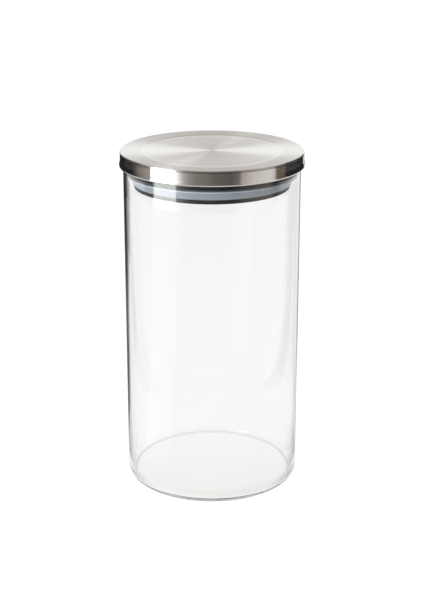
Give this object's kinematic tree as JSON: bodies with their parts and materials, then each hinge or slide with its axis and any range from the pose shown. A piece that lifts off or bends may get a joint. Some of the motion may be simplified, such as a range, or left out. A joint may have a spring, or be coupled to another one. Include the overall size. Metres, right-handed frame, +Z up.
{
  "type": "lidded glass canister",
  "caption": "Straight clear glass storage jar with a push-in lid: a brushed steel cap on a dark plastic plug with a silicone sealing ring.",
  "frame": {"origin": "centre of the foot of the jar, on the surface that it stands on", "axes": "+Z up along the axis of the jar; X and Y are alike, because the canister is round"},
  "size_m": [0.1148, 0.1148, 0.215],
  "materials": {
    "clear_glass": "clear polished borosilicate glass, fire-polished at the rim",
    "brushed_steel": "stainless steel, spun brushing around the axis",
    "black_plastic": "moulded, fine satin",
    "silicone": "translucent grey-blue silicone, smooth"
  },
  "bodies": {
    "jar": {"glass_jar": "clear_glass"},
    "lid": {"steel_cap": "brushed_steel", "lid_insert": "black_plastic", "sealing_ring": "silicone"}
  },
  "joints": [
    {"name": "lid_lift", "type": "slide", "parent": "jar", "child": "lid", "axis": [0, 0, 1], "range_m": [0, 0.06]}
  ]
}
